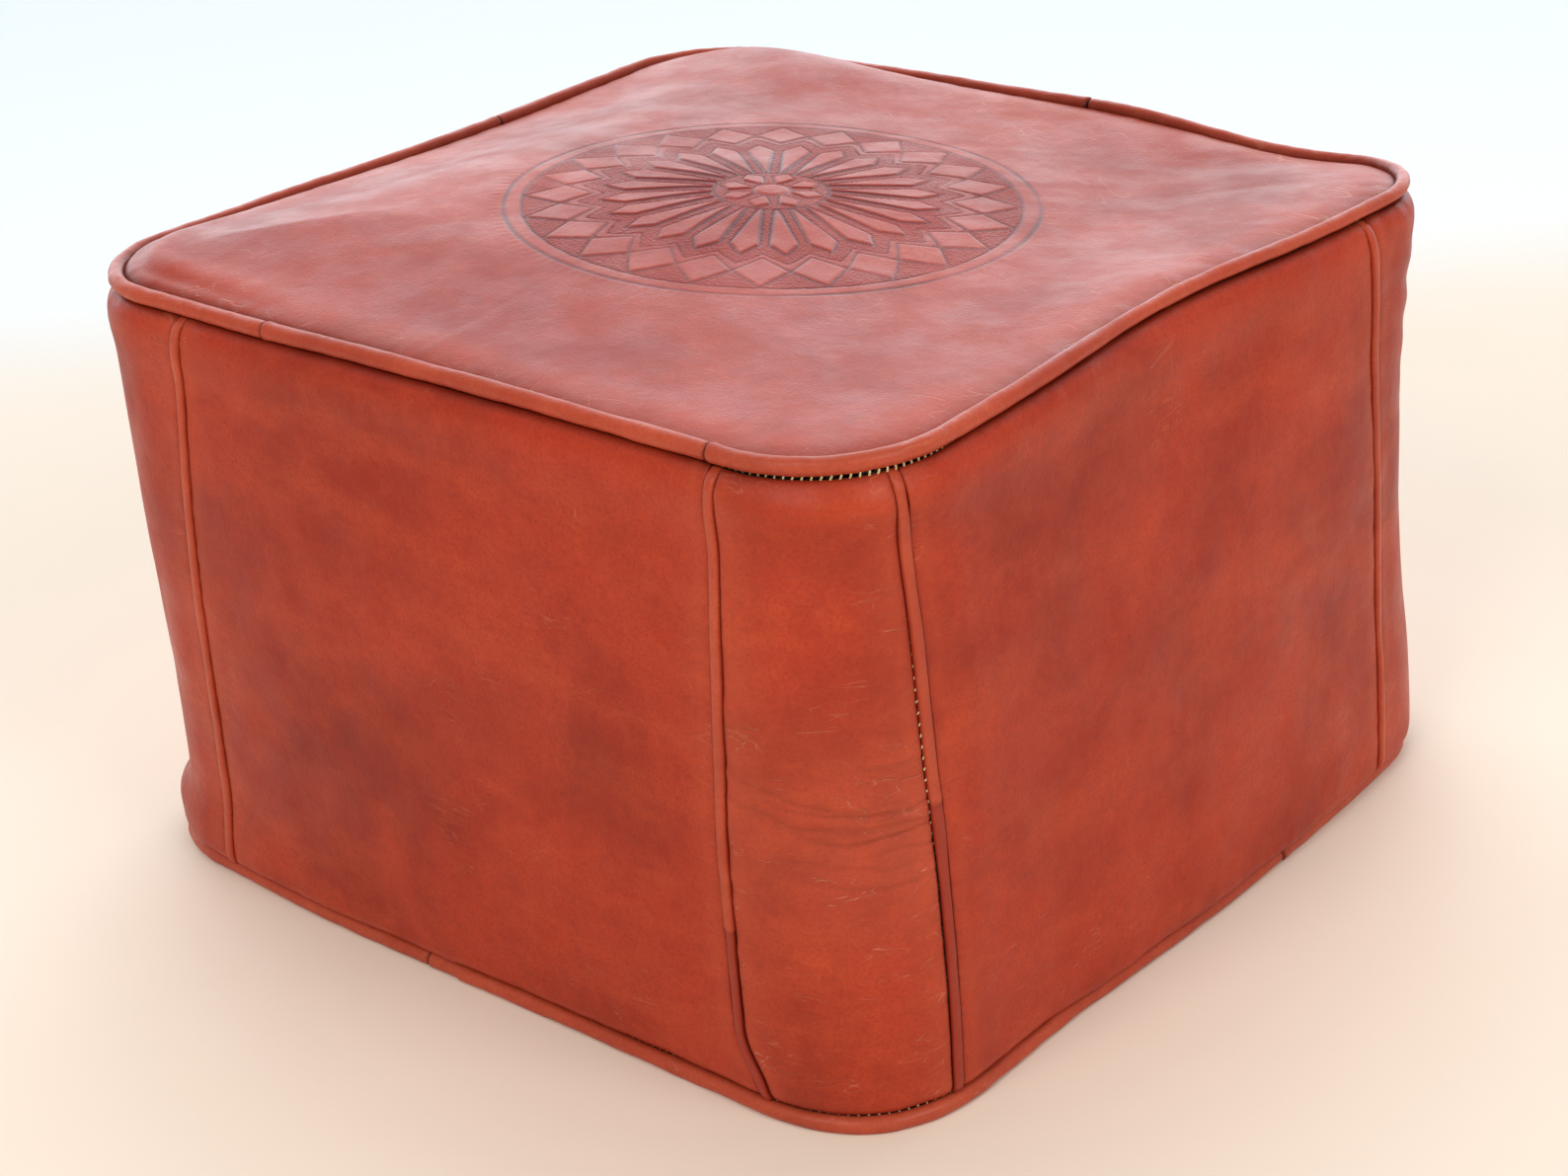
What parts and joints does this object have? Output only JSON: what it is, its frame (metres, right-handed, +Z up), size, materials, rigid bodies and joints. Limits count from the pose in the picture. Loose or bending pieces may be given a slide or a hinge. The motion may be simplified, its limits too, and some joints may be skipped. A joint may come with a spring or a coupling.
{
  "type": "leather pouf",
  "caption": "Square stuffed leather pouf with piped seams, separate corner strips and an embossed medallion on top; a zip underneath opens the cover to its stuffed cotton bag.",
  "frame": {"origin": "centre of the base on the floor", "axes": "+Z up, -Y out of the front face, +X out of the right face, along the zip"},
  "size_m": [0.5, 0.48, 0.313],
  "materials": {
    "leather": "vegetable-tanned goat leather, orange-red brown, mottled, satin, with a fine grain and light scratches",
    "piping_leather": "the same leather in narrow strips, a little lighter where it is stretched over its cord",
    "base_leather": "plain split leather, matt, browner than the cover",
    "piping_cord": "twisted jute cord",
    "thread": "waxed cotton thread, cream to yellow",
    "bag_cotton": "unbleached plain-weave cotton",
    "wadding": "matted cotton wadding, off-white",
    "foam": "open-cell foam, pale yellow",
    "zip_tape": "herringbone twill tape, dark brown",
    "brass": "brass, lightly worn"
  },
  "bodies": {
    "pouf": {"top_panel": "leather", "side_panel_front": "leather", "side_panel_right": "leather", "side_panel_back": "leather", "side_panel_left": "leather", "corner_panel_front_left": "leather", "corner_panel_front_right": "leather", "corner_panel_back_right": "leather", "corner_panel_back_left": "leather", "upright_piping_front_left": "piping_leather", "upright_piping_front_right": "piping_leather", "upright_piping_right_front": "piping_leather", "upright_piping_right_back": "piping_leather", "upright_piping_back_right": "piping_leather", "upright_piping_back_left": "piping_leather", "upright_piping_left_back": "piping_leather", "upright_piping_left_front": "piping_leather", "top_piping_strip_1": "piping_leather", "top_piping_strip_2": "piping_leather", "top_piping_strip_3": "piping_leather", "top_piping_strip_4": "piping_leather", "base_piping_strip_1": "piping_leather", "base_piping_strip_2": "piping_leather", "base_piping_strip_3": "piping_leather", "base_piping_strip_4": "piping_leather", "base_panel_front": "base_leather", "base_panel_back": "base_leather", "top_piping_cord": "piping_cord", "base_piping_cord": "piping_cord", "seam_thread_front_left": "thread", "seam_thread_front_right": "thread", "seam_thread_right_front": "thread", "seam_thread_right_back": "thread", "seam_thread_back_right": "thread", "seam_thread_back_left": "thread", "seam_thread_left_back": "thread", "seam_thread_left_front": "thread", "seam_thread_top": "thread", "seam_thread_base": "thread", "cotton_bag": "bag_cotton", "wadding_base": "wadding", "wadding_wrap": "wadding", "wadding_top": "wadding", "foam_core": "foam", "zip_tape_front": "zip_tape", "zip_tape_back": "zip_tape", "zip_teeth_front": "brass", "zip_teeth_back": "brass", "zip_top_stop_front": "brass", "zip_top_stop_back": "brass", "zip_bottom_stop": "brass"},
    "zip_slider": {"zip_slider": "brass"},
    "zip_pull": {"zip_pull": "brass"}
  },
  "joints": [
    {"name": "zip_slide", "type": "slide", "parent": "pouf", "child": "zip_slider", "axis": [-1, 0, 0], "range_m": [0, 0.338], "deforming": ["zip_tape_front", "zip_tape_back", "zip_teeth_front", "zip_teeth_back"]},
    {"name": "zip_pull_flip", "type": "hinge", "parent": "zip_slider", "child": "zip_pull", "pos_m": [0.17, 0, 0.00745], "axis": [0, -1, 0], "range_deg": [-15, 165]}
  ]
}
